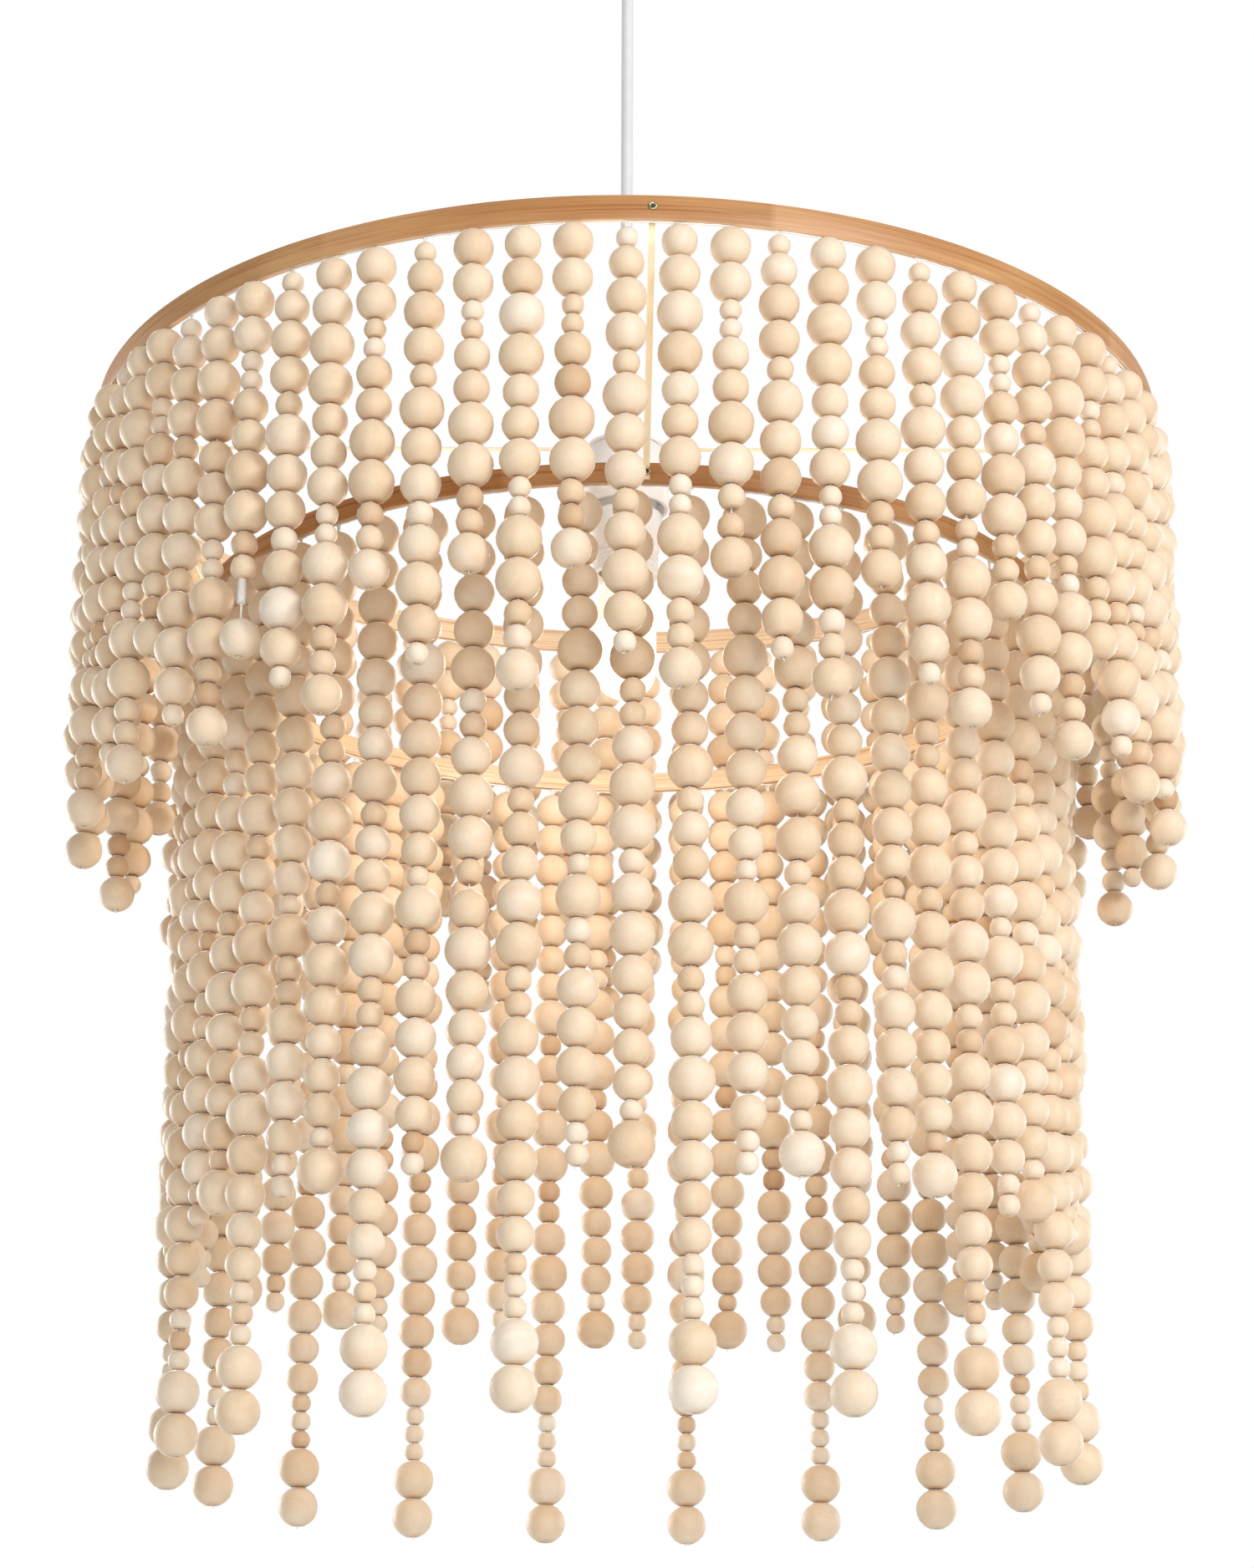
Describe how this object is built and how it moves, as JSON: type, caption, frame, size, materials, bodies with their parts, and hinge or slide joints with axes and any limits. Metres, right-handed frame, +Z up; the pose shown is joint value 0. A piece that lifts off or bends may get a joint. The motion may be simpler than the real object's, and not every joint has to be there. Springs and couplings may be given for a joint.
{
  "type": "beaded chandelier",
  "caption": "Tiered pendant lamp: wooden bead strands laced to bent bamboo hoops round a bare bulb, hung by a white flex from a ceiling cup.",
  "frame": {"origin": "centre of the ceiling cup's flat top face, where it meets the ceiling", "axes": "+Z up the flex to the ceiling, +X to the right and -Y towards the side that is looked at"},
  "size_m": [0.5668, 0.5667, 0.8734],
  "materials": {
    "bead_wood": "unvarnished turned wood, fine grain",
    "bamboo": "satin split bamboo strip",
    "white_plastic": "moulded, half gloss",
    "white_flex": "smooth round sheath",
    "cream_wire": "pale cream lacquer",
    "plated_metal": "nickel plate",
    "ceramic_carrier": "unglazed",
    "bulb_glass": "frosted, lit warm white"
  },
  "bodies": {
    "ceiling": {"ceiling_cup": "white_plastic"},
    "grip": {"cord_grip": "white_plastic"},
    "lamp": {"flex": "white_flex", "lampholder_cap": "white_plastic", "lampholder_barrel": "white_plastic", "screw_shell": "plated_metal", "contact_carrier": "ceramic_carrier", "spider": "cream_wire", "outer_hoop": "bamboo", "inner_hoop": "bamboo", "hanger_1": "cream_wire", "hanger_2": "cream_wire", "hanger_3": "cream_wire"},
    "bulb": {"bulb_cap": "plated_metal", "bulb_glass": "bulb_glass"},
    "outer_strands_01": {"outer_strands_01": "bead_wood"},
    "outer_strands_02": {"outer_strands_02": "bead_wood"},
    "outer_strands_03": {"outer_strands_03": "bead_wood"},
    "outer_strands_04": {"outer_strands_04": "bead_wood"},
    "outer_strands_05": {"outer_strands_05": "bead_wood"},
    "outer_strands_06": {"outer_strands_06": "bead_wood"},
    "outer_strands_07": {"outer_strands_07": "bead_wood"},
    "outer_strands_08": {"outer_strands_08": "bead_wood"},
    "outer_strands_09": {"outer_strands_09": "bead_wood"},
    "outer_strands_10": {"outer_strands_10": "bead_wood"},
    "outer_strands_11": {"outer_strands_11": "bead_wood"},
    "outer_strands_12": {"outer_strands_12": "bead_wood"},
    "outer_strands_13": {"outer_strands_13": "bead_wood"},
    "outer_strands_14": {"outer_strands_14": "bead_wood"},
    "outer_strands_15": {"outer_strands_15": "bead_wood"},
    "outer_strands_16": {"outer_strands_16": "bead_wood"},
    "outer_strands_17": {"outer_strands_17": "bead_wood"},
    "outer_strands_18": {"outer_strands_18": "bead_wood"},
    "outer_strands_19": {"outer_strands_19": "bead_wood"},
    "outer_strands_20": {"outer_strands_20": "bead_wood"},
    "outer_strands_21": {"outer_strands_21": "bead_wood"},
    "outer_strands_22": {"outer_strands_22": "bead_wood"},
    "outer_strands_23": {"outer_strands_23": "bead_wood"},
    "outer_strands_24": {"outer_strands_24": "bead_wood"},
    "inner_strands_01": {"inner_strands_01": "bead_wood"},
    "inner_strands_02": {"inner_strands_02": "bead_wood"},
    "inner_strands_03": {"inner_strands_03": "bead_wood"},
    "inner_strands_04": {"inner_strands_04": "bead_wood"},
    "inner_strands_05": {"inner_strands_05": "bead_wood"},
    "inner_strands_06": {"inner_strands_06": "bead_wood"},
    "inner_strands_07": {"inner_strands_07": "bead_wood"},
    "inner_strands_08": {"inner_strands_08": "bead_wood"},
    "inner_strands_09": {"inner_strands_09": "bead_wood"},
    "inner_strands_10": {"inner_strands_10": "bead_wood"},
    "inner_strands_11": {"inner_strands_11": "bead_wood"},
    "inner_strands_12": {"inner_strands_12": "bead_wood"},
    "inner_strands_13": {"inner_strands_13": "bead_wood"},
    "inner_strands_14": {"inner_strands_14": "bead_wood"},
    "inner_strands_15": {"inner_strands_15": "bead_wood"},
    "inner_strands_16": {"inner_strands_16": "bead_wood"},
    "inner_strands_17": {"inner_strands_17": "bead_wood"},
    "inner_strands_18": {"inner_strands_18": "bead_wood"}
  },
  "joints": [
    {"name": "sway_side_to_side", "type": "hinge", "parent": "ceiling", "child": "grip", "pos_m": [0, 0, -0.02307], "axis": [0, 1, 0], "range_deg": [-10, 10]},
    {"name": "sway_front_to_back", "type": "hinge", "parent": "grip", "child": "lamp", "pos_m": [0, 0, -0.02307], "axis": [1, 0, 0], "range_deg": [-10, 10]},
    {"name": "bulb_unscrew", "type": "slide", "parent": "lamp", "child": "bulb", "axis": [0, 0, -1], "range_m": [0, 0.027]},
    {"name": "outer_strands_swing_01", "type": "hinge", "parent": "lamp", "child": "outer_strands_01", "pos_m": [0.02346, -0.27185, -0.34303], "axis": [-0.9963, -0.086, 0], "range_deg": [-3, 10]},
    {"name": "outer_strands_swing_02", "type": "hinge", "parent": "lamp", "child": "outer_strands_02", "pos_m": [0.0921, -0.25685, -0.34303], "axis": [-0.9413, -0.3375, 0], "range_deg": [-3, 10]},
    {"name": "outer_strands_swing_03", "type": "hinge", "parent": "lamp", "child": "outer_strands_03", "pos_m": [0.15463, -0.22482, -0.34303], "axis": [-0.8239, -0.5667, 0], "range_deg": [-3, 10]},
    {"name": "outer_strands_swing_04", "type": "hinge", "parent": "lamp", "child": "outer_strands_04", "pos_m": [0.20691, -0.17788, -0.34303], "axis": [-0.6519, -0.7583, 0], "range_deg": [-3, 10]},
    {"name": "outer_strands_swing_05", "type": "hinge", "parent": "lamp", "child": "outer_strands_05", "pos_m": [0.24547, -0.11915, -0.34303], "axis": [-0.4367, -0.8996, 0], "range_deg": [-3, 10]},
    {"name": "outer_strands_swing_06", "type": "hinge", "parent": "lamp", "child": "outer_strands_06", "pos_m": [0.26776, -0.05251, -0.34303], "axis": [-0.1924, -0.9813, 0], "range_deg": [-3, 10]},
    {"name": "outer_strands_swing_07", "type": "hinge", "parent": "lamp", "child": "outer_strands_07", "pos_m": [0.27229, 0.0176, -0.34303], "axis": [0.0645, -0.9979, 0], "range_deg": [-3, 10]},
    {"name": "outer_strands_swing_08", "type": "hinge", "parent": "lamp", "child": "outer_strands_08", "pos_m": [0.25877, 0.08655, -0.34303], "axis": [0.3172, -0.9484, 0], "range_deg": [-3, 10]},
    {"name": "outer_strands_swing_09", "type": "hinge", "parent": "lamp", "child": "outer_strands_09", "pos_m": [0.22809, 0.14976, -0.34303], "axis": [0.5488, -0.8359, 0], "range_deg": [-3, 10]},
    {"name": "outer_strands_swing_10", "type": "hinge", "parent": "lamp", "child": "outer_strands_10", "pos_m": [0.18229, 0.20304, -0.34303], "axis": [0.7441, -0.6681, 0], "range_deg": [-3, 10]},
    {"name": "outer_strands_swing_11", "type": "hinge", "parent": "lamp", "child": "outer_strands_11", "pos_m": [0.1244, 0.24285, -0.34303], "axis": [0.89, -0.4559, 0], "range_deg": [-3, 10]},
    {"name": "outer_strands_swing_12", "type": "hinge", "parent": "lamp", "child": "outer_strands_12", "pos_m": [0.05826, 0.26657, -0.34303], "axis": [0.9769, -0.2135, 0], "range_deg": [-3, 10]},
    {"name": "outer_strands_swing_13", "type": "hinge", "parent": "lamp", "child": "outer_strands_13", "pos_m": [-0.01174, 0.27261, -0.34303], "axis": [0.9991, 0.043, 0], "range_deg": [-3, 10]},
    {"name": "outer_strands_swing_14", "type": "hinge", "parent": "lamp", "child": "outer_strands_14", "pos_m": [-0.08096, 0.26057, -0.34303], "axis": [0.955, 0.2967, 0], "range_deg": [-3, 10]},
    {"name": "outer_strands_swing_15", "type": "hinge", "parent": "lamp", "child": "outer_strands_15", "pos_m": [-0.14482, 0.23126, -0.34303], "axis": [0.8475, 0.5307, 0], "range_deg": [-3, 10]},
    {"name": "outer_strands_swing_16", "type": "hinge", "parent": "lamp", "child": "outer_strands_16", "pos_m": [-0.19907, 0.18662, -0.34303], "axis": [0.6839, 0.7296, 0], "range_deg": [-3, 10]},
    {"name": "outer_strands_swing_17", "type": "hinge", "parent": "lamp", "child": "outer_strands_17", "pos_m": [-0.24012, 0.1296, -0.34303], "axis": [0.475, 0.88, 0], "range_deg": [-3, 10]},
    {"name": "outer_strands_swing_18", "type": "hinge", "parent": "lamp", "child": "outer_strands_18", "pos_m": [-0.26525, 0.06398, -0.34303], "axis": [0.2345, 0.9721, 0], "range_deg": [-3, 10]},
    {"name": "outer_strands_swing_19", "type": "hinge", "parent": "lamp", "child": "outer_strands_19", "pos_m": [-0.2728, -0.00587, -0.34303], "axis": [-0.0215, 0.9998, 0], "range_deg": [-3, 10]},
    {"name": "outer_strands_swing_20", "type": "hinge", "parent": "lamp", "child": "outer_strands_20", "pos_m": [-0.26226, -0.07534, -0.34303], "axis": [-0.2761, 0.9611, 0], "range_deg": [-3, 10]},
    {"name": "outer_strands_swing_21", "type": "hinge", "parent": "lamp", "child": "outer_strands_21", "pos_m": [-0.23432, -0.13981, -0.34303], "axis": [-0.5124, 0.8588, 0], "range_deg": [-3, 10]},
    {"name": "outer_strands_swing_22", "type": "hinge", "parent": "lamp", "child": "outer_strands_22", "pos_m": [-0.19086, -0.19501, -0.34303], "axis": [-0.7147, 0.6995, 0], "range_deg": [-3, 10]},
    {"name": "outer_strands_swing_23", "type": "hinge", "parent": "lamp", "child": "outer_strands_23", "pos_m": [-0.13473, -0.23728, -0.34303], "axis": [-0.8696, 0.4938, 0], "range_deg": [-3, 10]},
    {"name": "outer_strands_swing_24", "type": "hinge", "parent": "lamp", "child": "outer_strands_24", "pos_m": [-0.05813, -0.26597, -0.34303], "axis": [-0.9769, 0.2135, 0], "range_deg": [-3, 10]},
    {"name": "inner_strands_swing_01", "type": "hinge", "parent": "lamp", "child": "inner_strands_01", "pos_m": [0.20936, 0.05903, -0.44903], "axis": [0.2714, -0.9625, 0], "range_deg": [-1.5, 6]},
    {"name": "inner_strands_swing_02", "type": "hinge", "parent": "lamp", "child": "inner_strands_02", "pos_m": [0.17735, 0.12595, -0.44903], "axis": [0.579, -0.8153, 0], "range_deg": [-1.5, 6]},
    {"name": "inner_strands_swing_03", "type": "hinge", "parent": "lamp", "child": "inner_strands_03", "pos_m": [0.12471, 0.17823, -0.44903], "axis": [0.8193, -0.5733, 0], "range_deg": [-1.5, 6]},
    {"name": "inner_strands_swing_04", "type": "hinge", "parent": "lamp", "child": "inner_strands_04", "pos_m": [0.05757, 0.20977, -0.44903], "axis": [0.9643, -0.2646, 0], "range_deg": [-1.5, 6]},
    {"name": "inner_strands_swing_05", "type": "hinge", "parent": "lamp", "child": "inner_strands_05", "pos_m": [-0.01628, 0.21692, -0.44903], "axis": [0.9972, 0.0748, 0], "range_deg": [-1.5, 6]},
    {"name": "inner_strands_swing_06", "type": "hinge", "parent": "lamp", "child": "inner_strands_06", "pos_m": [-0.08822, 0.19883, -0.44903], "axis": [0.9141, 0.4056, 0], "range_deg": [-1.5, 6]},
    {"name": "inner_strands_swing_07", "type": "hinge", "parent": "lamp", "child": "inner_strands_07", "pos_m": [-0.14991, 0.15762, -0.44903], "axis": [0.7246, 0.6892, 0], "range_deg": [-1.5, 6]},
    {"name": "inner_strands_swing_08", "type": "hinge", "parent": "lamp", "child": "inner_strands_08", "pos_m": [-0.19416, 0.09808, -0.44903], "axis": [0.4509, 0.8926, 0], "range_deg": [-1.5, 6]},
    {"name": "inner_strands_swing_09", "type": "hinge", "parent": "lamp", "child": "inner_strands_09", "pos_m": [-0.21583, 0.02713, -0.44903], "axis": [0.1247, 0.9922, 0], "range_deg": [-1.5, 6]},
    {"name": "inner_strands_swing_10", "type": "hinge", "parent": "lamp", "child": "inner_strands_10", "pos_m": [-0.21239, -0.04698, -0.44903], "axis": [-0.216, 0.9764, 0], "range_deg": [-1.5, 6]},
    {"name": "inner_strands_swing_11", "type": "hinge", "parent": "lamp", "child": "inner_strands_11", "pos_m": [-0.18425, -0.11562, -0.44903], "axis": [-0.5315, 0.847, 0], "range_deg": [-1.5, 6]},
    {"name": "inner_strands_swing_12", "type": "hinge", "parent": "lamp", "child": "inner_strands_12", "pos_m": [-0.13468, -0.17082, -0.44903], "axis": [-0.7853, 0.6192, 0], "range_deg": [-1.5, 6]},
    {"name": "inner_strands_swing_13", "type": "hinge", "parent": "lamp", "child": "inner_strands_13", "pos_m": [-0.06945, -0.20614, -0.44903], "axis": [-0.9477, 0.3193, 0], "range_deg": [-1.5, 6]},
    {"name": "inner_strands_swing_14", "type": "hinge", "parent": "lamp", "child": "inner_strands_14", "pos_m": [0.00387, -0.21749, -0.44903], "axis": [-0.9998, -0.0178, 0], "range_deg": [-1.5, 6]},
    {"name": "inner_strands_swing_15", "type": "hinge", "parent": "lamp", "child": "inner_strands_15", "pos_m": [0.07673, -0.20354, -0.44903], "axis": [-0.9357, -0.3527, 0], "range_deg": [-1.5, 6]},
    {"name": "inner_strands_swing_16", "type": "hinge", "parent": "lamp", "child": "inner_strands_16", "pos_m": [0.14067, -0.16592, -0.44903], "axis": [-0.7628, -0.6467, 0], "range_deg": [-1.5, 6]},
    {"name": "inner_strands_swing_17", "type": "hinge", "parent": "lamp", "child": "inner_strands_17", "pos_m": [0.18824, -0.109, -0.44903], "axis": [-0.5011, -0.8654, 0], "range_deg": [-1.5, 6]},
    {"name": "inner_strands_swing_18", "type": "hinge", "parent": "lamp", "child": "inner_strands_18", "pos_m": [0.21514, -0.02704, -0.44903], "axis": [-0.1247, -0.9922, 0], "range_deg": [-1.5, 6]}
  ]
}
